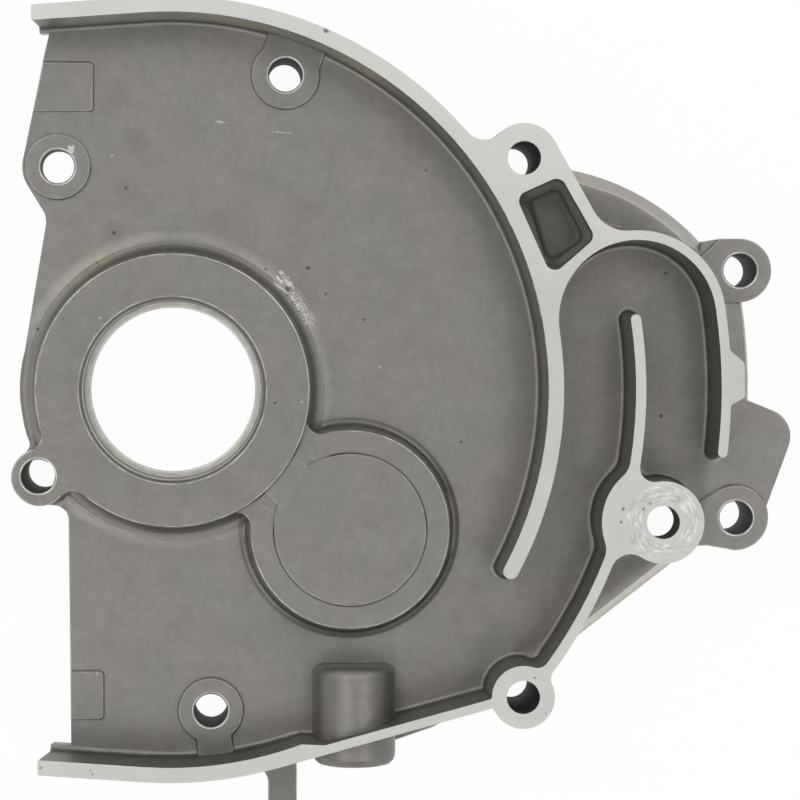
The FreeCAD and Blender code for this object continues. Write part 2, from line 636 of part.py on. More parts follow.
def left_boss():
    """High bolt boss at the left of the ring, with the hollow necks that tie it to ring and plate."""
    parts = [floor_boss(LEFT_BODY, LEFT_R, RING_Z).common(plate_field())]
    parts += [column(LEFT_BODY, LEFT_R, 0, RING_Z)]
    for side in (1, -1):
        centre = circle_meet(ORIGIN, RING_R + LEFT_NECK_R, LEFT_BODY, LEFT_R + LEFT_NECK_R, side)
        ties = [polar(RING_R - ROOT, bearing(centre)), polar(RING_R - ROOT, bearing(LEFT_BODY))]
        ties += [LEFT_BODY]
        block = prism(ties + [centre], FLOOR_Z - ROOT, RING_Z).common(plate_field())
        parts += [block.cut(neck_core(centre, LEFT_NECK_R, RING_Z))]
    edge = ring_foot() - EDGE_TUCK
    centre = circle_meet(ORIGIN, edge + LEFT_EDGE_NECK_R, LEFT_BODY, LEFT_R + LEFT_EDGE_NECK_R, -1)
    ties = [polar(edge - ROOT, bearing(centre)), polar(edge - ROOT, bearing(LEFT_BODY))]
    block = prism(ties + [LEFT_BODY, centre], UNDER_Z, FLOOR_Z)
    parts += [block.cut(column(centre, LEFT_EDGE_NECK_R, 0, JOINT_Z))]
    return fuse(parts)


def low_plate():
    """Low plate outside the labyrinth: shoulders, right edge, paddle and the ledge beside the plug boss."""
    shoulder = shoulder_section(SHOULDER_R, SHOULDER_EDGE_R)
    slope = shoulder_section(SLOPE_EDGE, SHOULDER_EDGE_R)
    right = shoulder_section(RIGHT_EDGE, EDGE_R)
    parts = [turned(shoulder, SHOULDER_FROM, SHOULDER_TO, SHOULDER)]
    parts += [drawn(slope, SLOPE_NORMAL, SLOPE_FROM, SLOPE_TO)]
    parts += [turned(right, bearing(RIGHT_LOWER), bearing(RIGHT_UPPER))]
    paddle = prism(PADDLE, FLOOR_Z - PADDLE_T, FLOOR_Z)
    parts += [round_upright(paddle, PADDLE_CORNER_R, PADDLE[1:2])]
    parts += [prism(LEDGE, 0, LEDGE_Z)]
    return fuse(parts)


def plug_boss():
    """Half-round boss that lies across the thin wall, with rounded ends."""
    steps = FOOT_STEPS + 1
    ends = []
    for side, y in ((1, PLUG_FROM_Y), (-1, PLUG_TO_Y)):
        end = []
        for i in range(steps + 1):
            turn = math.pi / 2 * i / steps
            inset = PLUG_EDGE_R * (1 - math.sin(turn))
            end.append((PLUG_R - inset, y - side * PLUG_EDGE_R * (1 - math.cos(turn))))
        ends.append(end)
    outline = ends[0] + ends[1][::-1]
    section = [Vector(0, PLUG_FROM_Y, 0)] + [Vector(r, y, 0) for r, y in outline]
    section += [Vector(0, PLUG_TO_Y, 0)]
    crown = Part.Face(Part.makePolygon(section + section[:1]))
    crown = crown.revolve(Vector(0, 0, 0), Vector(0, 1, 0), 360)
    crown.translate(Vector(PLUG_X, 0, PLUG_AXIS_Z))
    plan = [(PLUG_X + r, y) for r, y in outline] + [(PLUG_X - r, y) for r, y in outline[::-1]]
    return crown.fuse(prism(plan, PLUG_LOW_Z, PLUG_AXIS_Z))


def pads():
    """Two flat cast pads that run out at the left edge."""
    solids = []
    for right, low, high in (UPPER_PAD, LOWER_PAD):
        left = right - REACH
        points = [(left, low), (right, low), (right, high), (left, high)]
        solids.append(round_upright(prism(points, UNDER_Z, FLOOR_Z + PAD_RISE), PAD_CORNER_R, points[1:3]))
    inside = plate_field()
    return fuse(solids).common(inside)


def hanger():
    """Flat tab that hangs from the lower side, with a hollow neck on its left."""
    left = HANGER_X - HANGER_W / 2
    right = HANGER_X + HANGER_W / 2
    high = HANGER_LOW_Z + HANGER_T
    start = -math.sqrt((WALL_OUT - ROOT) ** 2 - right ** 2)
    end = -WALL_OUT - HANGER_REACH
    points = [(left, start), (left, end), (right, end), (right, start)]
    tab = round_upright(prism(points, HANGER_LOW_Z, high), HANGER_CORNER_R, points[1:3])
    reach = WALL_OUT + HANGER_LOW_Z * SKIRT_DRAFT + HANGER_NECK_R
    x = left - HANGER_NECK_R
    y = -math.sqrt(reach ** 2 - x ** 2)
    foot = polar(WALL_OUT - ROOT, bearing((x, y)))
    neck_web = prism([(x, y), foot, (left, start), (left, y)], HANGER_LOW_Z, high)
    return fuse([tab, neck_web.cut(column((x, y), HANGER_NECK_R, 0, JOINT_Z))])


def back_ribs():
    """Ribs behind the plate: rays from the hub to the bosses and one arc behind the chamber wall."""
    half = BACK_RIB_T / 2
    parts = []
    for target in (UPPER, POCKET_LUG, BOTTOM):
        way = bearing(target)
        near = polar(HUB_R - ROOT, way)
        points = [polar(half, way + turn, spot) for spot, turn in
                  ((near, 90), (near, -90), (target, -90), (target, 90))]
        parts += [prism(points, BACK_RIB_Z, UNDER_Z + ROOT)]
    outer = WALL_MID + BACK_ARC_T / 2
    points = [Vector(outer, 0, BACK_RIB_Z), Vector(outer, 0, UNDER_Z + ROOT)]
    points += [Vector(outer - BACK_ARC_T, 0, UNDER_Z + ROOT), Vector(outer - BACK_ARC_T, 0, BACK_RIB_Z)]
    face = Part.Face(Part.makePolygon(points + points[:1]))
    parts += [turned(face, bearing(BOTTOM_LUG), bearing(POCKET_LUG))]
    under = FLOOR_Z + BOSS_RISE - UPPER_LEFT_T
    for (x, y), (far_x, far_y) in (left_edge()[:2], (EDGE_FOOT, (EDGE_LOW_X, EDGE_LOW_Y))):
        points = [(x, y), (far_x, far_y), (far_x + EDGE_RIB_T, far_y), (x + EDGE_RIB_T, y)]
        parts += [prism(points, under, FLOOR_Z - ROOT)]
    return fuse(parts)


def bolt_hole(centre, low, high, chamfer=BOLT_CHAMFER):
    """Clearance hole of an M6 screw, chamfered at its upper rim."""
    hole = column(centre, BOLT_R, low - ROOT, high + ROOT)
    drop = chamfer * BOLT_CHAMFER_SLOPE
    place = Vector(centre[0], centre[1], high - drop)
    rim = Part.makeCone(BOLT_R, BOLT_R + 2 * chamfer, 2 * drop, place)
    return fuse([hole, rim])


def bores():
    """Seal seat, lip and spigot recess of the shaft bore, and every bolt hole."""
    shelf = RING_Z - SEAL_DEPTH
    parts = [column(ORIGIN, SEAL_R, shelf, RING_Z + ROOT), column(ORIGIN, SPIGOT_R, -ROOT, shelf - LIP_T)]
    parts += [column(ORIGIN, LIP_R, shelf - LIP_T - ROOT, shelf + ROOT)]
    mouth = Vector(0, 0, RING_Z - SEAL_CHAMFER)
    parts += [Part.makeCone(SEAL_R, SEAL_R + 2 * SEAL_CHAMFER, 2 * SEAL_CHAMFER, mouth)]
    low_top = FLOOR_Z + BOSS_RISE
    for centre in (UPPER_LEFT, UPPER, RIGHT_UPPER, RIGHT_LOWER, BOTTOM):
        parts += [bolt_hole(centre, 0, low_top)]
    for centre in (POCKET_LUG, BOTTOM_LUG, DEEP):
        parts += [bolt_hole(centre, 0, JOINT_Z, BOLT_CHAMFER / 2)]
    parts += [bolt_hole(LEFT, 0, RING_Z)]
    parts += [column(DEEP, DEEP_COUNTERBORE_R, -ROOT, JOINT_Z - DEEP_BOLT_LENGTH)]
    return fuse(parts)


def cover():
    """The whole casting."""
    body = fuse([plate(), chamber_wall(), labyrinth(), land(), lugs(), deep_boss(), bore_ring(), bulge(),
                 floor_bosses(), left_boss(), low_plate(), plug_boss(), pads(), hanger(), back_ribs()])
    body = body.cut(wall_end_cut(UPPER_END_X, UPPER_END_LEAN, 1))
    body = body.cut(wall_end_cut(LOWER_END_X, LOWER_END_LEAN, -1))
    body = body.cut(pocket_core()).cut(bulge_hollow()).cut(bores())
    return body.removeSplitter()


if __name__ == "__main__":
    os.makedirs("parts", exist_ok=True)
    solid = cover()
    print("solids", len(solid.Solids), "faces", len(solid.Faces), "valid", solid.isValid())
    print("volume cm3", round(solid.Volume / 1000, 1))
    solid.exportStep("parts/variator_cover.step")
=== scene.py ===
# %% [markdown]
# # A die-cast scooter cover on white paper
# The object is one aluminium casting: a thin floor with drafted walls standing on it, seen from
# straight above. Its shape is already a solid, so the work here is what a solid lacks: edges that
# catch the light, a sand-blasted cast skin, milled faces, bored holes, and the small marks of use.

# %% Load the casting and measure it
import math

import bmesh
import bpy
from mathutils import Matrix, Vector
from mathutils.kdtree import KDTree


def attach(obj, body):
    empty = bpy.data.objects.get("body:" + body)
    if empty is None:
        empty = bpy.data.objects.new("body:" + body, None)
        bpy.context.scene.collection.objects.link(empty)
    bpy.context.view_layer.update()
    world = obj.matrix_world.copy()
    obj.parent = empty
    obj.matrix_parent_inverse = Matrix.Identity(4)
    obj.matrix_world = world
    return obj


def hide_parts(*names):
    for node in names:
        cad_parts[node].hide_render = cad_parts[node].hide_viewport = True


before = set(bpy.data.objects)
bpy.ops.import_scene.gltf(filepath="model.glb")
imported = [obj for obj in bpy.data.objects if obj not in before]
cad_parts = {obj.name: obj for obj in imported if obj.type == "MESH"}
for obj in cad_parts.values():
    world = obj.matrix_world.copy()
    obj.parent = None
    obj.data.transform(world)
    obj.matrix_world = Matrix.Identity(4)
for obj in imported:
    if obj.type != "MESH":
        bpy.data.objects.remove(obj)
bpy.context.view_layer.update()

MM = 0.001
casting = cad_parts["variator_cover"]
print("casting", len(casting.data.vertices), "vertices", len(casting.data.polygons), "faces")


# %% [markdown]
# ## The camera
# The photograph looks almost straight down through a long lens. The tops of the walls lean away
# from one point left of the middle, which is where the lens looks straight down the part's upright
# axis. That point, and the spacing of the nine screw holes, fix the camera's place and its tilt.

# %% Place the camera
LENS_MM = 136.487
SENSOR_MM = 36.0
NEAREST_SEEN = 10 * MM
CAMERA_PLACE = Vector((13.531, 14.126, 663.0)) * MM
RIGHTWARDS = Vector((0.99855998, 0.0, 0.05364666))
UPWARDS = Vector((0.00136149, 0.99967791, -0.02534229))
BACKWARDS = Vector((-0.05362938, 0.02537883, 0.99823835))

camera_data = bpy.data.cameras.new("camera")
camera_data.lens = LENS_MM
camera_data.sensor_width = SENSOR_MM
camera_data.clip_start = NEAREST_SEEN
camera = bpy.data.objects.new("camera", camera_data)
bpy.context.scene.collection.objects.link(camera)
turn = Matrix((RIGHTWARDS, UPWARDS, BACKWARDS)).transposed()
camera.matrix_world = Matrix.Translation(CAMERA_PLACE) @ turn.to_4x4()
bpy.context.scene.camera = camera
bpy.context.scene.view_settings.view_transform = "Standard"
print("camera looks along", -BACKWARDS)


# %% [markdown]
# ## Writing shader maths as plain Python
# A finish is mostly arithmetic on a few fields: the height of a point, its distance from a hole,
# some noise. One small class wraps an output socket, so `a * b` adds a Multiply node and `1 -
# mask` works as it reads.

# %% Wrap a socket so that it can be added and multiplied
class Field:
    """One value that changes over a surface."""

    def __init__(self, finish, socket):
        self.finish = finish
        self.socket = socket

    def math(self, operation, *others):
        return self.finish.node("ShaderNodeMath", {"operation": operation}, [self, *others])

    def __add__(self, other):
        return self.math("ADD", other)

    def __sub__(self, other):
        return self.math("SUBTRACT", other)

    def __mul__(self, other):
        return self.math("MULTIPLY", other)

    def __rsub__(self, other):
        return self.finish.node("ShaderNodeMath", {"operation": "SUBTRACT"}, [other, self])

    __radd__ = __add__
    __rmul__ = __mul__

    def most(self, other):
        return self.math("MAXIMUM", other)

    def least(self, other):
        return self.math("MINIMUM", other)

    def between(self, start, end):
        """0 at start, 1 at end, eased between; start may be the larger."""
        settings = {"interpolation_type": "SMOOTHSTEP"}
        low, high, first, last = (start, end, 0.0, 1.0) if start < end else (end, start, 1.0, 0.0)
        return self.finish.node("ShaderNodeMapRange", settings, [self, low, high, first, last])


# %% [markdown]
# ## One material, built node by node
# Every other node comes from `Finish.node`, which takes the node's type, its settings, and the
# values or links of its sockets. Mixing two colours and asking for noise come so often that each
# has a short name. Colours are written as they are seen on a screen, and are turned into the
# renderer's own light.

# %% A finish is one material and its nodes
class Finish:
    """One material, built node by node."""

    def __init__(self, name):
        self.material = bpy.data.materials.new(name)
        self.material.use_nodes = True
        self.tree = self.material.node_tree
        self.tree.nodes.clear()

    def node(self, kind, settings=None, sockets=(), output=0):
        """sockets is a list in the node's own order, or a dictionary of names."""
        made = self.tree.nodes.new(kind)
        for key, value in (settings or {}).items():
            setattr(made, key, value)
        named = sockets if isinstance(sockets, dict) else dict(enumerate(sockets))
        for key, value in named.items():
            if isinstance(value, Field):
                self.tree.links.new(value.socket, made.inputs[key])
            else:
                made.inputs[key].default_value = value
        return None if output is None else Field(self, made.outputs[output])

    def mix(self, share, first, second, blend="MIX"):
        """Two colours mixed; share is 0 for the first and 1 for the second."""
        settings = {"data_type": "RGBA", "blend_type": blend}
        return self.node("ShaderNodeMix", settings, {0: share, 6: first, 7: second}, 2)

    def noise(self, place, scale, detail=2.0, roughness=0.5):
        sockets = {"Vector": place, "Scale": scale, "Detail": detail, "Roughness": roughness}
        return self.node("ShaderNodeTexNoise", None, sockets)


def tone(red, green, blue):
    """A colour as it is seen on a screen, 0 to 255, turned into the renderer's own light."""
    def light(part):
        part = part / 255
        return part / 12.92 if part <= 0.04045 else ((part + 0.055) / 1.055) ** 2.4
    return (light(red), light(green), light(blue), 1.0)


print("mid grey as light", [round(part, 3) for part in tone(137, 136, 132)])


# %% [markdown]
# ## The paper under the part
# Product pictures are often taken on a sheet of white paper that curves up behind. Here a flat
# disc rises at its rim, far from the part. A plain white world could stand in for it, but it would
# light the part from all sides and take no shadow. For the camera and for reflections the paper
# shines white by itself, and a share of it stays ordinary paper, so the part keeps its soft
# shadow. The sheet lies a tenth of a millimetre below the part, so that the two never share one
# plane.

# %% Turn the sheet's outline round the upright axis
SHEET_RADIUS = 3.0
SHEET_BEND = 0.8
SHEET_HEIGHT = 1.4
SHEET_SIDES = 96
BEND_STEPS = 10
FLAT_RINGS = (0.05, 0.6, SHEET_RADIUS - SHEET_BEND)
SHEET_BELOW = 0.1 * MM


def paper_sheet():
    """A flat disc with a rim that curves up, made by turning its outline."""
    outline = [(radius, -SHEET_BELOW) for radius in FLAT_RINGS]
    for step in range(1, BEND_STEPS + 1):
        angle = math.radians(90) * step / BEND_STEPS
        outline.append((SHEET_RADIUS - SHEET_BEND + SHEET_BEND * math.sin(angle),
                        SHEET_BEND * (1 - math.cos(angle)) - SHEET_BELOW))
    outline.append((SHEET_RADIUS, SHEET_HEIGHT))
    mesh = bmesh.new()
    centre = mesh.verts.new((0, 0, -SHEET_BELOW))
    rings = []
    for radius, height in outline:
        rings.append([mesh.verts.new((radius * math.cos(math.tau * side / SHEET_SIDES),
                                      radius * math.sin(math.tau * side / SHEET_SIDES), height))
                      for side in range(SHEET_SIDES)])
    for side in range(SHEET_SIDES):
        after = (side + 1) % SHEET_SIDES
        mesh.faces.new((centre, rings[0][side], rings[0][after]))
        for inner, outer in zip(rings, rings[1:]):
            mesh.faces.new((inner[side], outer[side], outer[after], inner[after]))
    for face in mesh.faces:
        face.smooth = True
    data = bpy.data.meshes.new("paper_sheet")
    mesh.to_mesh(data)
    mesh.free()
    sheet = bpy.data.objects.new("paper_sheet", data)
    bpy.context.scene.collection.objects.link(sheet)
    return sheet


sheet = paper_sheet()
print("paper sheet", len(sheet.data.polygons), "faces")

# %% Paper that shines white and still takes a shadow
PAPER_TONE = tone(240, 240, 240)
PAPER_SHINE = (1.0, 1.0, 1.0, 1.0)
PAPER_SHADOW_SHARE = 0.03

paper = Finish("white_paper")
lit_paper = paper.node("ShaderNodeBsdfDiffuse", None, {"Color": PAPER_TONE})
shining = paper.node("ShaderNodeEmission", None, {"Color": PAPER_SHINE, "Strength": 1.0})
seen = paper.node("ShaderNodeLightPath", None, (), "Is Camera Ray")
mirrored = paper.node("ShaderNodeLightPath", None, (), "Is Glossy Ray")
through = paper.node("ShaderNodeLightPath", None, (), "Is Transmission Ray")
glow = seen.most(mirrored).most(through) * (1 - PAPER_SHADOW_SHARE)
paper_look = paper.node("ShaderNodeMixShader", None, [glow, lit_paper, shining])
paper.node("ShaderNodeOutputMaterial", None, {"Surface": paper_look}, None)
sheet.data.materials.append(paper.material)
print("a shadow takes at most", PAPER_SHADOW_SHARE, "of the paper's white")


# %% [markdown]
# ## The light
# Three things in the photograph tell where the light is. Flat faces are mid grey while rounded
# edges and hollow feet, which tilt a little, are paler: so the light stands round a lens that
# leaves the middle dark. The floor darkens beside every tall wall, so no side is without light.
# And the rims at the upper left are the palest of all, so a little more comes from there. Four
# soft boxes far enough away to light the part evenly give all three, and a dim world fills what
# they don't reach.

# %% Four soft boxes round the lens
BOX_SIZE = 1.4
BOX_DISTANCE = 2.2
BOX_OFF_AXIS = math.radians(36)
BOX_POWER = 15.5
BOX_SHARES = ((45, 1.0), (135, 1.1), (225, 1.0), (315, 0.9))
AIMED_AT = Vector((0.05, 0.0, 0.015))
STUDIO_GREY = (0.88, 0.93, 0.89, 1.0)
STUDIO_LEVEL = 0.04

for bearing, share in BOX_SHARES:
    around = math.radians(bearing)
    way = Vector((math.sin(BOX_OFF_AXIS) * math.cos(around),
                  math.sin(BOX_OFF_AXIS) * math.sin(around), math.cos(BOX_OFF_AXIS)))
    box_data = bpy.data.lights.new(f"soft_box_{bearing}", "AREA")
    box_data.shape = "SQUARE"
    box_data.size = BOX_SIZE
    box_data.energy = BOX_POWER * share
    box = bpy.data.objects.new(f"soft_box_{bearing}", box_data)
    box.location = AIMED_AT + way * BOX_DISTANCE
    box.rotation_euler = way.to_track_quat("Z", "Y").to_euler()
    bpy.context.scene.collection.objects.link(box)
    print("soft box at", bearing, "degrees with", round(BOX_POWER * share, 2), "watts")

studio = bpy.data.worlds.new("studio")
studio.use_nodes = True
studio.node_tree.nodes["Background"].inputs["Color"].default_value = STUDIO_GREY
studio.node_tree.nodes["Background"].inputs["Strength"].default_value = STUDIO_LEVEL
bpy.context.scene.world = studio


# %% [markdown]
# ## Rounding the cast edges
# A solid's edges are mathematically sharp, and a die-cast part's never are: the die's corners wear
# round, and blasting rounds them more. The thin pale lines along the ring and the bosses in the
# photograph are such rounded edges catching the light. A copy of the casting gets its triangles
# merged back into the flat faces that they came from, so that only real edges are left to bevel. A
# bevel modifier could round them too, but it doesn't know which edges were milled, and it can't
# leave out the corners where it folds. The edges at the joint face stay crisp, because the cutter
# made them after casting.

# %% Merge the triangles and find the edges to round
MERGE = 0.002 * MM
FLAT_WITHIN = math.radians(0.6)
CORNER_ABOVE = math.radians(33)
KEEP_AWAY = 0.9 * MM
JOINT_Z = 30.0


def merged_copy(source):
    mesh = bmesh.new()
    mesh.from_mesh(source.data)
    bmesh.ops.remove_doubles(mesh, verts=mesh.verts, dist=MERGE)
    bmesh.ops.dissolve_limit(mesh, angle_limit=FLAT_WITHIN, verts=mesh.verts, edges=mesh.edges)
    return mesh


def cast_corners(mesh, crowded):
    """The sharp edges below the milled face that lie clear of the crowded spots."""
    places = KDTree(max(len(crowded), 1))
    for index, place in enumerate(crowded):
        places.insert(place, index)
    places.balance()
    chosen = []
    for edge in mesh.edges:
        first, last = (vertex.co for vertex in edge.verts)
        if min(first.z, last.z) > JOINT_Z * MM - MERGE or edge.calc_face_angle() < CORNER_ABOVE:
            continue
        looked_at = (first, last, (first + last) / 2)
        if not crowded or all(places.find(place)[2] > KEEP_AWAY for place in looked_at):
            chosen.append(edge)
    return chosen


merged = merged_copy(casting)
print("merged into", len(merged.faces), "faces,", len(cast_corners(merged, [])), "cast edges")


# %% [markdown]
# ## Telling the roundings apart
# The outward roundings are painted pale, partly as wear and partly as a painted highlight, and the
# inward ones get painted shade. The finish can't see by itself which is which, so each face of a
# rounding notes its kind while it is made. The bend of the surface could be measured during
# rendering instead, but then every crowded place would look pale.

# %% Remember which faces are roundings
def note_roundings(mesh, faces):
    """Writes 1 on the faces of an outward rounding, -1 on an inward one, and 0 elsewhere."""
    note = mesh.faces.layers.float["rounding"]
    for face in faces:
        turns = [edge.calc_face_angle_signed(0.0) for edge in face.edges]
        face[note] = 1.0 if sum(turns) > 0 else -1.0


# %% [markdown]
# ## Bevels that don't fold
# At a few crowded corners a bevel would fold over itself. Working out beforehand where that
# happens is hard, and trying is quick: bevel a fresh copy, look for folded edges, leave the
# corners near them sharp, and try again. Points that ended up on one place are welded last, so
# that the surface stays closed.

# %% Round them, and leave sharp what would fold
EDGE_ROUND = 0.3 * MM
ROUND_SEGMENTS = 2
FOLD_ABOVE = math.radians(140)
SAME_POINT = 0.0001 * MM
ROUNDING_TRIES = 4


def rounded(merged):
    """A copy with its cast edges bevelled, apart from those near a fold."""
    crowded = []
    for attempt in range(ROUNDING_TRIES):
        mesh = merged.copy()
        mesh.faces.layers.float.new("rounding")
        edges = cast_corners(mesh, crowded)
        made = bmesh.ops.bevel(mesh, geom=edges, offset=EDGE_ROUND, offset_type="OFFSET",
                               segments=ROUND_SEGMENTS, profile=0.5, affect="EDGES",
                               clamp_overlap=False, loop_slide=True)
        note_roundings(mesh, made["faces"])
        bmesh.ops.triangulate(mesh, faces=mesh.faces)
        folded = [edge for edge in mesh.edges if edge.calc_face_angle() > FOLD_ABOVE]
        print("rounding", len(edges), "edges leaves", len(folded), "folds")
        if not folded or attempt == ROUNDING_TRIES - 1:
            bmesh.ops.remove_doubles(mesh, verts=mesh.verts, dist=SAME_POINT)
            return mesh
        crowded += [vertex.co.copy() for edge in folded for vertex in edge.verts]
        mesh.free()


rounded_mesh = rounded(merged)
merged.free()
print("rounded by", round(EDGE_ROUND / MM, 2), "mm in", ROUND_SEGMENTS, "steps")


# %% [markdown]
# ## The piece that replaces the casting
# The rounded copy takes the casting's place. Its flats stay flat in the light, because each
# point's normal leans to its largest faces, and the shading turns over the narrow roundings only.

# %% Shade the piece and hand it to the frame
def shaded_piece(mesh, name):
    """Smooth over the roundings, flat on the flats, and creased where an edge stayed sharp."""
    for face in mesh.faces:
        face.smooth = True
    for edge in mesh.edges:
        edge.smooth = edge.calc_face_angle() < CORNER_ABOVE
    data = bpy.data.meshes.new(name)
    mesh.to_mesh(data)
    mesh.free()
    piece = bpy.data.objects.new(name, data)
    bpy.context.scene.collection.objects.link(piece)
    normals = piece.modifiers.new("flats_stay_flat", "WEIGHTED_NORMAL")
    normals.mode = "FACE_AREA"
    normals.weight = 100
    normals.keep_sharp = True
    return piece


cover = shaded_piece(rounded_mesh, "cast_cover")
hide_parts("variator_cover")
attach(cover, "root")
print("cover", len(cover.data.polygons), "triangles")


# %% [markdown]
# ## Where the surface is what
# The casting shows three finishes. Most of it is the grey skin that the die and the blasting left.
# The joint face, and the gasket face on the back, were milled flat after casting, and are paler
# and smoother. The screw holes and the shaft's seat were bored, and their rims are bright. Each
# place is found from its height, its tilt and its distance from an axis, in millimetres, so the
# masks follow the solid on every side. The places could also be painted on the mesh by hand, and
# would have to be painted again after every change of the solid.

# %% Fields of place and tilt
SCREW_HOLES = ((-24.33, 47.21), (23.88, 66.77), (73.61, 48.66), (121.16, 25.39), (120.45, -27.66),
               (103.02, -27.81), (73.52, -64.51), (7.85, -68.42), (-28.16, -18.0))
BULGE = (37.4, -29.6)
LEVEL_FROM = 0.9
LEVEL_FULL = 0.98
STEEP_FROM = 0.45
STEEP_FULL = 0.2

skin = Finish("cast_aluminium_skin")
own_place = skin.node("ShaderNodeTexCoord", None, (), "Object")
in_millimetres = {"Vector": own_place, "Scale": 1 / MM}
spot = skin.node("ShaderNodeVectorMath", {"operation": "SCALE"}, in_millimetres)
x = skin.node("ShaderNodeSeparateXYZ", None, [spot], 0)
y = skin.node("ShaderNodeSeparateXYZ", None, [spot], 1)
z = skin.node("ShaderNodeSeparateXYZ", None, [spot], 2)
flat = skin.node("ShaderNodeCombineXYZ", None, [x, y, 0.0])
facing = skin.node("ShaderNodeNewGeometry", None, (), "Normal")
up = skin.node("ShaderNodeSeparateXYZ", None, [facing], 2)
level_face = up.between(LEVEL_FROM, LEVEL_FULL)
steep = up.math("ABSOLUTE").between(STEEP_FROM, STEEP_FULL)
front = up.between(-0.3, 0.05)
print("level faces lean less than", round(math.degrees(math.acos(LEVEL_FROM))), "degrees")


# %% Distance from an axis, and the nearest of many
def off(centre_x, centre_y):
    """Distance in millimetres from an upright axis."""
    settings = {"operation": "DISTANCE"}
    return skin.node("ShaderNodeVectorMath", settings, [flat, (centre_x, centre_y, 0.0)], 1)


def nearest(marks):
    """Distance from the nearest of many round marks, each measured in its own radius."""
    closest = off(marks[0][0], marks[0][1]) * (1 / marks[0][2])
    for mark_x, mark_y, radius in marks[1:]:
        closest = closest.least(off(mark_x, mark_y) * (1 / radius))
    return closest


from_holes = nearest([(hole_x, hole_y, 1.0) for hole_x, hole_y in SCREW_HOLES])
from_shaft = off(0.0, 0.0)
from_bulge = off(*BULGE)
print("axes of", len(SCREW_HOLES), "screw holes, the shaft and the bulge")

# %% Masks of the milled faces and the screw holes
MILLED_FROM = 0.16
MILLED_FULL = 0.04
SCREW_HOLE_R = 3.5
RIM_R = 4.02

joint_face = z.between(JOINT_Z - MILLED_FROM, JOINT_Z - MILLED_FULL) * level_face
gasket_face = z.between(MILLED_FROM, MILLED_FULL) * up.between(-LEVEL_FROM, -LEVEL_FULL)
milled = joint_face.most(gasket_face)
# Painted shade: the bores of the screw holes are given a dark colour.
shaded_hole_wall = from_holes.between(SCREW_HOLE_R + 0.12, SCREW_HOLE_R + 0.02) * steep
hole_rim = from_holes.between(RIM_R, RIM_R - 0.1) * (1 - steep) * (1 - milled)
print("milled above", JOINT_Z - MILLED_FROM, "mm, holes within", SCREW_HOLE_R, "mm")

# %% Masks of the shaft's seat and of the roundings
SEAT_R = 19.0
LIP_R = 17.4
SEAT_WALL_FROM_Z = 17.0
SEAT_EDGE_Z = (23.0, 23.8)

seat_shelf = from_shaft.between(SEAT_R + 0.05, SEAT_R - 0.05) * level_face
# Painted shade: dark lines at the foot and at the top of the seat wall.
seat_line_shade = from_shaft.between(SEAT_R - 0.45, SEAT_R - 0.25) * seat_shelf
seat_edge_shade = from_shaft.between(SEAT_R + 0.75, SEAT_R + 0.6) * z.between(*SEAT_EDGE_Z)
seat_edge_shade = seat_edge_shade * (1 - level_face)
# Painted light: the seat wall is made paler than its cut metal alone.
lit_seat_wall = from_shaft.between(SEAT_R + 0.12, SEAT_R + 0.04) * steep
lit_seat_wall = lit_seat_wall * z.between(SEAT_WALL_FROM_Z - 1, SEAT_WALL_FROM_Z)
seat_lip = from_shaft.between(LIP_R + 0.35, LIP_R + 0.2) * level_face
rounding = skin.node("ShaderNodeAttribute", {"attribute_name": "rounding"}, (), "Fac")
outward = rounding.most(0.0)
inward = (rounding * -1.0).most(0.0)
print("seat from", LIP_R, "to", SEAT_R, "mm off the shaft's axis")


# %% [markdown]
# ## Clouds and grain
# A blasted casting isn't one grey. Where the metal filled the die last the skin is a little warmer
# or cooler, in clouds as wide as a thumb. Blasting leaves a fine grain. Noise of six sizes gives
# both. Noise in the plane alone would draw stripes down the walls, so only the widest clouds use
# it, and the rest is asked at the point in space.

# %% Slow clouds and fine grain
GRAIN_SCALE = 2.2

clouds = skin.noise(flat, 0.05, 3.0)
patches = skin.noise(spot, 0.17, 4.0, 0.55)
grain = skin.noise(spot, GRAIN_SCALE, 3.0, 0.7)
fine_grain = skin.noise(spot, 5.5, 2.0, 0.6)
blotches = skin.noise(spot, 0.55, 2.0, 0.5)
specks = skin.noise(spot, 1.1, 5.0, 0.75)
dark_specks = specks.between(0.37, 0.31)
pale_specks = specks.between(0.66, 0.72)
print("grain of about", round(1 / GRAIN_SCALE, 2), "mm")


# %% [markdown]
# ## Painted shade in the channels and the pocket
# The floor is darkened in the narrow channels, in the hollow corner below the bulge and at the
# bottom of the cored pocket: this is painted shade, where the walls keep light off. The pocket's
# lower walls and sloping foot are painted lighter, as painted light. The outer slopes below the
# floor's level are paler in the photograph, so they get a painted highlight here.

# %% Painted shade in the channels, the corner and the pocket
POCKET_AT = (80.8, 35.4, 9.0)
POCKET_FLOOR_Z = 21.0
UNDER_BULGE = (28.0, -51.0, 15.0)
FLOOR_Z = 16.5
SHADE_FROM_R = 45.0
SHADE_FULL_R = 104.0
OUTER_WALL_R = 117.5
CHANNEL_SHADE = 0.2
CORNER_SHADE = 0.13

pocket = nearest([POCKET_AT]).between(1.05, 0.95) * z.between(JOINT_Z - 0.3, JOINT_Z - 0.6)
pocket = pocket * z.between(POCKET_FLOOR_Z - 1, POCKET_FLOOR_Z - 0.5)
# Painted light: the pocket's lower walls and its sloping foot are made paler below.
pocket_wall_light = pocket * steep * z.between(JOINT_Z - 0.4, JOINT_Z - 2.4)
pocket_foot_light = pocket * (1 - steep) * (1 - level_face)
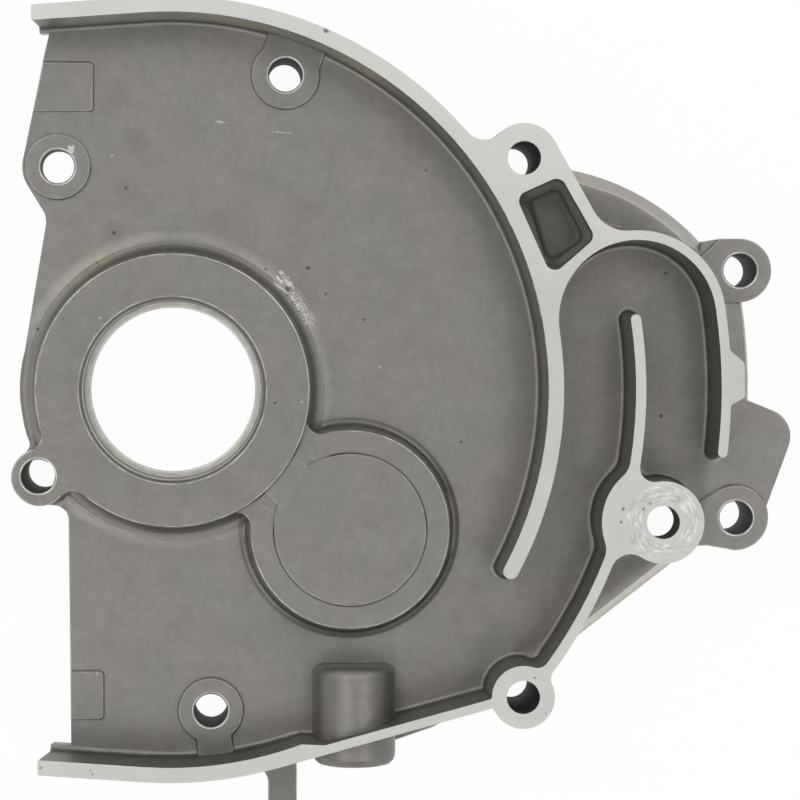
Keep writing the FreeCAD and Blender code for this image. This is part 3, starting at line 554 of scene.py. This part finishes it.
# Painted shade: the floor is darkened in the channels and in the hollow corner below the bulge.
channel_shade = from_shaft.between(SHADE_FROM_R, SHADE_FULL_R)
channel_shade = channel_shade * from_shaft.between(OUTER_WALL_R, OUTER_WALL_R - 3)
corner_shade = nearest([UNDER_BULGE]).between(1.0, 0.0) * z.between(FLOOR_Z + 2.5, FLOOR_Z + 1)
painted_shade = channel_shade * CHANNEL_SHADE + corner_shade * CORNER_SHADE
# Painted highlight: the outer slopes below the floor's level are made paler, the lower ones most.
shoulder_highlight = z.between(FLOOR_Z - 0.05, FLOOR_Z - 0.3) * z.between(FLOOR_Z - 5, FLOOR_Z - 3.5)
shoulder_highlight = shoulder_highlight * (1 - steep) * level_face.between(1.0, 0.5)
print("dust from", SHADE_FROM_R, "mm off the shaft outwards")


# %% [markdown]
# ## The grooves round the bulge and its disc
# The groove at the bulge's foot gets painted shade, most of all on the side away from the shaft,
# and so does the fine step round the raised disc. The flanks of the bridge between disc and ring
# get painted shade too. The step and the flanks are found by their small tilt, because the faces
# beside them are level.

# %% Painted shade in the groove, the step and the bridge's flanks
BULGE_TOP_Z = 22.6
DISC_TOP_Z = 23.4
GROOVE_FROM_R = 22.0
GROOVE_TO_R = 23.9
DISC_STEP_FROM_R = 15.7
DISC_STEP_TO_R = 16.9
GROOVE_SHADE = 0.36
GROOVE_SHADE_FAR = 0.28

tilted = up.between(0.99, 0.975)
# Painted shade: the groove at the bulge's foot is darkened, most on the side away from the shaft.
groove_shade = from_bulge.between(GROOVE_TO_R, GROOVE_TO_R - 0.6)
groove_shade = groove_shade * z.between(BULGE_TOP_Z - 1, BULGE_TOP_Z - 1.8)
groove_shade = groove_shade * z.between(FLOOR_Z - 0.3, FLOOR_Z - 0.1)
groove_shade = groove_shade * from_bulge.between(GROOVE_FROM_R, GROOVE_FROM_R + 0.9)
groove_shade = groove_shade * (GROOVE_SHADE + from_shaft.between(50.0, 64.0) * GROOVE_SHADE_FAR)
# Painted shade on the fine step round the raised disc.
disc_step_shade = from_bulge.between(DISC_STEP_FROM_R, DISC_STEP_FROM_R + 0.2) * tilted
disc_step_shade = disc_step_shade * from_bulge.between(DISC_STEP_TO_R, DISC_STEP_TO_R - 0.3)
disc_step_shade = disc_step_shade * z.between(BULGE_TOP_Z - 0.3, BULGE_TOP_Z - 0.1)
disc_step_shade = disc_step_shade * z.between(DISC_TOP_Z + 0.5, DISC_TOP_Z + 0.3)
# Painted shade on the flanks of the bridge between disc and ring.
bridge_side_shade = z.between(BULGE_TOP_Z - 0.15, BULGE_TOP_Z) * tilted
bridge_side_shade = bridge_side_shade * z.between(DISC_TOP_Z + 0.05, DISC_TOP_Z - 0.05)
bridge_side_shade = bridge_side_shade * from_shaft.between(40.0, 37.0) * from_bulge.between(15.2, 15.9)
print("groove out to", GROOVE_TO_R, "mm from the bulge's axis")


# %% [markdown]
# ## Round marks
# Pits, pale dots and soft stains sit where the photograph shows them. A round mark is a distance
# from its middle, measured in its own radius, and noise added to that distance gives it the ragged
# side that real marks have. An image laid over the part could carry them too, but it needs a file
# and looks coarse from close by. The back isn't in the photograph, so the colour of these marks is
# kept off it. Only the soft stains, which hardly show, go through.

# %% Round marks, as place and radius in millimetres
SOFT_STAINS = ((-9.94, 42.75, 4.4), (-12.5, 33.21, 4.0), (-8.02, 53.13, 4.4), (-12.01, 62.22, 5.0),
               (28.6, 38.0, 4.0), (9.5, 36.0, 3.6))
PITS = ((-9.94, 42.75, 0.55), (-12.5, 33.21, 0.6), (-16.11, 26.85, 0.4), (28.64, 25.83, 0.55),
        (32.47, 20.3, 0.4), (40.58, 14.77, 0.4), (61.33, -11.31, 0.4), (53.82, 46.74, 0.4),
        (24.3, 21.3, 0.8), (-28.59, 12.86, 0.5), (21.49, -2.7, 0.35), (105.35, 24.84, 0.55),
        (104.34, -5.82, 0.6), (94.46, -24.94, 0.45), (98.79, -24.95, 0.35), (94.04, -27.67, 0.35),
        (19.69, 25.59, 0.35), (32.1, 75.0, 0.75), (78.2, -67.9, 0.25))
PALE_DOTS = ((27.17, -2.5, 0.35), (43.99, 4.74, 0.4), (9.98, 56.8, 0.4), (-12.88, 49.73, 0.4),
             (-15.14, 15.17, 0.4), (-16.3, -60.5, 0.35))
BROWN_MARKS = ((-27.4, -78.6, 0.4), (-17.2, -79.2, 0.3), (-16.7, -80.0, 0.3), (100.2, -23.8, 0.4),
               (75.9, -60.4, 0.4))
OIL_STAIN = (-16.3, 27.2, 4.4)
RUBBED_AT = (7.0, 7.6, 11.9, 13.8, 16.1, 19.1, 26.5)
WALL_FACE_R = 78.9
RUBBED_Z = (27.4, 28.6)
BURR = (-21.48, 50.92, 0.95)
ragged = (skin.noise(spot, 1.8, 3.0, 0.6) - 0.5) * 1.6

stains = nearest(SOFT_STAINS).between(1.0, 0.1)
pits = (nearest(PITS) + ragged).between(1.15, 0.3)
dots = (nearest(PALE_DOTS) + ragged).between(1.1, 0.3)
rubbed_spots = [(WALL_FACE_R * math.cos(math.radians(bearing)),
                 WALL_FACE_R * math.sin(math.radians(bearing)), 0.9) for bearing in RUBBED_AT]
rubbed = (nearest(rubbed_spots) + ragged).between(1.0, 0.6) * z.between(*RUBBED_Z) * steep
burr = (nearest([BURR]) + ragged).between(1.0, 0.7)
brown = (nearest(BROWN_MARKS) + ragged).between(1.1, 0.5)
print(len(PITS), "pits,", len(PALE_DOTS), "pale dots,", len(SOFT_STAINS), "soft stains")


# %% [markdown]
# ## Scratches
# Something hard slid over the floor. A scratch is a distance from a line: how far a point lies
# along the line, and how far beside it. Where many fine ones lie together, noise stands for them.

# %% Scratches, as start, end and half width in millimetres
def beside(start, end):
    """Share of the way along a line, and distance beside it."""
    length = math.dist(start, end)
    along = ((end[0] - start[0]) / length, (end[1] - start[1]) / length)
    share = ((x - start[0]) * along[0] + (y - start[1]) * along[1]) * (1 / length)
    aside = ((y - start[1]) * along[0] - (x - start[0]) * along[1]).math("ABSOLUTE")
    return share, aside


def scratch(start, end, half_width):
    share, aside = beside(start, end)
    inside = share.between(-0.02, 0.08) * share.between(1.02, 0.92)
    return (aside + ragged * half_width).between(half_width, half_width * 0.4) * inside


SCRATCHES = (((22.6, 25.4), (25.0, 21.6), 0.55), ((21.2, 22.8), (24.4, 20.4), 0.35),
             ((21.9, 24.2), (23.2, 22.6), 0.3), ((24.3, 24.2), (25.6, 21.4), 0.3),
             ((9.0, 56.9), (11.3, 56.6), 0.14), ((20.8, 54.8), (25.2, 54.5), 0.11))
RUBBED_FROM = (24.6, 21.8)
RUBBED_TO = (30.0, 12.8)
RUBBED_HALF_WIDTH = 1.9

scratched = scratch(*SCRATCHES[0])
for line in SCRATCHES[1:]:
    scratched = scratched.most(scratch(*line))
share, aside = beside(RUBBED_FROM, RUBBED_TO)
speckled = aside.between(RUBBED_HALF_WIDTH, 0.7)
speckled = speckled * share.between(0.0, 0.15) * share.between(1.0, 0.8)
speckled = speckled * skin.noise(spot, 2.6, 3.0, 0.7).between(0.5, 0.6)
broken = skin.noise(spot, 1.5, 3.0, 0.7).between(0.36, 0.5)
scratched = (scratched * broken).most(speckled) * z.between(FLOOR_Z + 2.1, FLOOR_Z + 1.1)
print(len(SCRATCHES), "scratches and one rubbed patch")


# %% [markdown]
# ## The spot-faced seat of the deep screw
# A screw head turned on this boss and left short arcs round the hole, some bright and some dull.
# In polar coordinates an arc is a straight streak, so the noise is asked at the radius and the
# angle.

# %% Arcs round the deep screw
DEEP_SCREW = (103.02, -27.81)
ARCS_FROM = 4.2
ARCS_TO = 8.6
ARC_STRETCH = 1.3


def angle_about(centre_x, centre_y):
    """Angle round an upright axis, in radians."""
    return (y - centre_y).math("ARCTAN2", x - centre_x)


def polar(distance, angle, stretch):
    """A place to ask noise at, so that it runs in arcs; a small stretch makes them long."""
    return skin.node("ShaderNodeCombineXYZ", None, [distance, angle * stretch, 0.0])


from_deep = off(*DEEP_SCREW)
arcs = skin.noise(polar(from_deep, angle_about(*DEEP_SCREW), ARC_STRETCH), 1.9, 2.0, 0.6)
grouped = skin.noise(flat, 0.32, 2.0, 0.5).between(0.4, 0.56)
arc_zone = from_deep.between(ARCS_FROM, ARCS_FROM + 0.8)
arc_zone = arc_zone * from_deep.between(ARCS_TO, ARCS_TO - 1.2)
bright_arcs = arcs.between(0.5, 0.62) * arc_zone * grouped * milled
dull_arcs = arcs.between(0.46, 0.36) * arc_zone * milled
print("arcs from", ARCS_FROM, "to", ARCS_TO, "mm round the deep screw")


# %% [markdown]
# ## The skin's colour
# The clouds mix a warm and a cool grey, the grain, the painted shade and the painted highlights
# change their level, and then the cut places and the marks are laid over. Three walls stand out
# in the photograph, and get painted light and shade: the upper one is painted lighter, and the
# foot of the lower one and the arch's outer side get painted shade. Every steep face is painted
# lighter too. Level changes are a Scale on the colour, which keeps its hue, while mixing with
# black or white would turn it greyer.

# %% Greys of the casting
CAST_WARM = tone(140, 135, 130)
CAST_COOL = tone(136, 135, 130)
STEEP_PAINTED_LIGHT = (1.2, 1.28, 1.21, 1.0)
MILLED_TONE = tone(196, 197, 191)
HOLE_SHADE_TONE = tone(66, 68, 63)
RIM_TONE = tone(192, 192, 186)
SEAT_SHADE_TONE = tone(122, 120, 114)
SHELF_CUT_AND_LIGHT_TONE = tone(210, 208, 201)
SEAT_WALL_CUT_AND_LIGHT_TONE = tone(196, 194, 186)
PIT_TONE = tone(62, 60, 57)
# Pale tone of wear and scratches, and of the painted highlight on outward roundings.
WEAR_AND_HIGHLIGHT_TONE = tone(214, 214, 208)
BROWN_TONE = tone(122, 104, 90)
OIL_TONE = tone(152, 146, 110)
BRIGHT_CUT = tone(232, 233, 228)
DULL_CUT = tone(168, 167, 160)
POCKET_SHADE_TONE = tone(104, 102, 98)
print("a worn edge is", round(WEAR_AND_HIGHLIGHT_TONE[0] / CAST_WARM[0], 1), "times as light as the skin")


# %% Level of the cast skin
GRAIN_SHARE = 0.16
FINE_GRAIN_SHARE = 0.12
PATCHES_SHARE = 0.26
BLOTCHES_SHARE = 0.22
STAIN_DARK = 0.12
SHOULDER_HIGHLIGHT = 0.85
LOW_SHOULDER_HIGHLIGHT = 0.7
BRIDGE_SIDE_SHADE = 0.32
DISC_STEP_SHADE = 0.24


def scaled(colour, amount):
    """A colour made lighter or darker in the same hue."""
    plain = colour[:3] if isinstance(colour, tuple) else colour
    sockets = {"Vector": plain, "Scale": amount}
    return skin.node("ShaderNodeVectorMath", {"operation": "SCALE"}, sockets)


cast = skin.mix(clouds.between(0.36, 0.64), CAST_WARM, CAST_COOL)
level = 1.0 + (grain - 0.5) * GRAIN_SHARE + (fine_grain - 0.5) * FINE_GRAIN_SHARE
level = level + (patches - 0.5) * PATCHES_SHARE + (blotches - 0.5) * BLOTCHES_SHARE
# The painted shade of the channels and the corner lowers the level here.
level = level - dark_specks * 0.08 + pale_specks * 0.06 - painted_shade - stains * STAIN_DARK
# The painted highlight of the outer slopes raises the level here.
level = level + shoulder_highlight * (SHOULDER_HIGHLIGHT + y.between(0.0, -20.0) * LOW_SHOULDER_HIGHLIGHT)
# Painted shade in the groove, on the bridge's flanks and on the disc's step.
level = level * (1 - groove_shade) * (1 - bridge_side_shade * BRIDGE_SIDE_SHADE)
level = level * (1 - disc_step_shade * DISC_STEP_SHADE)
cast = scaled(cast, level)
print("cast skin between", [round(part, 3) for part in CAST_WARM[:3]], "and its cool grey")

# %% Painted light and shade on three walls, and the pocket
UPPER_WALL_HIGHLIGHT = 0.8
LOWER_WALL_SHADE = 0.3
ARCH_WALL_SHADE = 0.25

# Painted light on the upper wall's inner face; painted shade at the lower wall's foot and the
# arch.
lit_upper_wall = steep * y.between(56.0, 66.0) * x.between(50.0, 40.0)
lit_upper_wall = lit_upper_wall * from_shaft.between(81.0, 80.0)
shaded_lower_wall = (1 - level_face) * y.between(-68.0, -74.0) * x.between(30.0, 22.0)
shaded_lower_wall = shaded_lower_wall * z.between(FLOOR_Z + 0.1, FLOOR_Z + 0.9) * front
shaded_arch_wall = steep * x.between(106.0, 110.0) * z.between(18.0, 20.0)
# The painted light and shade of these three walls scale the skin's level.
walls = 1 + lit_upper_wall * UPPER_WALL_HIGHLIGHT - shaded_lower_wall * LOWER_WALL_SHADE
walls = walls - shaded_arch_wall * ARCH_WALL_SHADE
level = level * walls
cast = scaled(cast, walls)
# Painted light: every steep face is made lighter.
cast = skin.mix(steep, cast, skin.mix(1.0, cast, STEEP_PAINTED_LIGHT, "MULTIPLY"))
# Painted shade and light: the pocket takes a darker tone, and its lower walls and foot are paler.
cast = skin.mix(pocket, cast, scaled(POCKET_SHADE_TONE, level + pocket_wall_light * 2.5 + pocket_foot_light * 0.5))
print("upper wall up to", round(1 + UPPER_WALL_HIGHLIGHT, 2), "times as light")


# %% [markdown]
# ## Wear and painted highlights on the roundings
# An outward rounding is painted pale in broken stretches, partly as wear and partly as a painted
# highlight, and least on the low steps near the floor. An inward rounding gets painted shade. The
# rim of the shaft's ring gets the most painted highlight at its upper right, as the photograph
# shows.

# %% Painted highlight and wear, and painted shade, on the roundings
RING_TOP_Z = 24.7
RING_RIM_FROM_R = 28.5
RING_RIM_TO_R = 29.1
WEAR_AND_HIGHLIGHT_LEAST = 0.06
WEAR_AND_HIGHLIGHT_MORE = 0.34
INWARD_SHADE = 0.35

rub_and_highlight = skin.noise(spot, 0.35, 4.0, 0.6).between(0.38, 0.6)
low_step = z.between(FLOOR_Z + 2.1, FLOOR_Z + 1.3)
ring_rim = from_shaft.between(RING_RIM_FROM_R - 0.2, RING_RIM_FROM_R)
ring_rim = ring_rim * from_shaft.between(RING_RIM_TO_R + 0.3, RING_RIM_TO_R)
ring_rim = ring_rim * z.between(RING_TOP_Z - 0.7, RING_TOP_Z - 0.4)
# Painted highlight: the rim of the shaft's ring is palest at its upper right.
rub_and_highlight = rub_and_highlight + ring_rim * x.between(2.0, 14.0) * y.between(-6.0, 6.0) * 0.8
# Painted highlight and wear: the outward roundings are made pale.
wear_and_highlight = outward * (WEAR_AND_HIGHLIGHT_LEAST + rub_and_highlight * WEAR_AND_HIGHLIGHT_MORE) * (1 - low_step * 0.7) * (1 - disc_step_shade)
cast = skin.mix(wear_and_highlight, cast, WEAR_AND_HIGHLIGHT_TONE)
# Painted shade in the inward roundings.
cast = scaled(cast, 1 - inward * INWARD_SHADE)
print("outward roundings up to", round(WEAR_AND_HIGHLIGHT_LEAST + WEAR_AND_HIGHLIGHT_MORE, 2), "worn, more on the ring")


# %% [markdown]
# ## The cut faces over the skin
# A cutter leaves long fine lines on the milled faces, and a boring tool leaves fine rings on the
# seat. The bores of the screw holes are dark in the photograph, and get painted shade here; their
# rims are bright. The seat's shelf and wall are pale cut metal made paler still by painted light,
# with lines of painted shade at the foot and the top of the seat wall. The milled face is painted
# lighter towards larger y.

# %% The cut places
smudges = skin.noise(flat, 0.09, 4.0, 0.6)
tool_marks = skin.noise(skin.node("ShaderNodeVectorMath", {"operation": "MULTIPLY"},
                                  [spot, (0.35, 3.0, 1.0)]), 1.6, 2.0)
milled_level_and_light = 1.0 + (smudges - 0.5) * 0.1 + (tool_marks - 0.5) * 0.06 + (fine_grain - 0.5) * 0.06
# Painted light: the milled face is made lighter towards larger y.
milled_level_and_light = milled_level_and_light + y.between(10.0, 60.0) * 0.07
colour = skin.mix(milled, cast, scaled(MILLED_TONE, milled_level_and_light))
colour = skin.mix(bright_arcs * 0.7, colour, BRIGHT_CUT)
colour = skin.mix(dull_arcs * 0.6, colour, DULL_CUT)
colour = skin.mix(hole_rim, colour, RIM_TONE)
# Painted shade in the bores of the screw holes.
colour = skin.mix(shaded_hole_wall, colour, HOLE_SHADE_TONE)
tool_rings = skin.noise(polar(from_shaft, angle_about(0.0, 0.0), 2.0), 2.6, 3.0, 0.7)
# Painted light: the shelf is cut metal made paler still; it is darker towards the seat wall.
shelf_level = 0.62 + tool_rings * 0.9 - from_shaft.between(LIP_R, LIP_R + 0.8) * 0.3
colour = skin.mix(seat_shelf, colour, scaled(SHELF_CUT_AND_LIGHT_TONE, shelf_level))
# Painted light on the seat wall, then painted shade lines at its foot and top.
colour = skin.mix(lit_seat_wall, colour, scaled(SEAT_WALL_CUT_AND_LIGHT_TONE, 0.8 + patches * 0.4))
colour = skin.mix(seat_line_shade.most(seat_edge_shade), colour, SEAT_SHADE_TONE)
colour = skin.mix(seat_lip, colour, RIM_TONE)
print("skin with its cut places has", len(skin.tree.nodes), "nodes")

# %% The marks over everything
bright_marks = scratched.most(dots * 0.6).most(rubbed).most(burr) * front
colour = skin.mix(bright_marks * 0.75, colour, WEAR_AND_HIGHLIGHT_TONE)
colour = skin.mix(pits * front * 0.75, colour, PIT_TONE)
colour = skin.mix(brown * front * 0.6, colour, BROWN_TONE)
colour = skin.mix(nearest([OIL_STAIN]).between(1.0, 0.2) * front * 0.25, colour, OIL_TONE)
print("skin with its marks has", len(skin.tree.nodes), "nodes")


# %% [markdown]
# ## Roughness, bump and the metal itself
# A blasted skin scatters light widely, so it is rough. It is metal under a thin dull film, so it
# is mostly metallic and not wholly. The heights of the bump are in millimetres. The ring's hollow
# foot runs out more gently than the solid's facets do, so the last stretch of it is a slope in the
# bump, which costs no facets.

# %% Put the metal together
BASE_ROUGH = 0.45
BASE_METAL = 0.85
FOOT_END_R = 34.4
FOOT_RISE = 0.045
GRAIN_HEIGHT = 0.011
FINE_GRAIN_HEIGHT = 0.008
MARK_HEIGHT = 0.05

rough = BASE_ROUGH + (grain - 0.5) * 0.16 + painted_shade * 0.3 - outward * 0.05
rough = rough - hole_rim * 0.08 + shaded_hole_wall * 0.25 + milled * (smudges - 0.5) * 0.1
height = (grain * GRAIN_HEIGHT + fine_grain * FINE_GRAIN_HEIGHT) * (1 - milled * 0.7)
height = height - pits * MARK_HEIGHT + burr * MARK_HEIGHT
foot = (FOOT_END_R - from_shaft).most(0.0)
height = height + foot * foot * FOOT_RISE * z.between(FLOOR_Z + 0.4, FLOOR_Z + 0.1)
bump = skin.node("ShaderNodeBump", None, {"Strength": 1.0, "Distance": MM, "Height": height})
metallic = BASE_METAL - shaded_hole_wall * 0.25
metal = skin.node("ShaderNodeBsdfPrincipled", None, {
    "Base Color": colour, "Roughness": rough, "Metallic": metallic, "Normal": bump})
skin.node("ShaderNodeOutputMaterial", None, {"Surface": metal}, None)
cover.data.materials.append(skin.material)
print("skin has", len(skin.tree.nodes), "nodes")
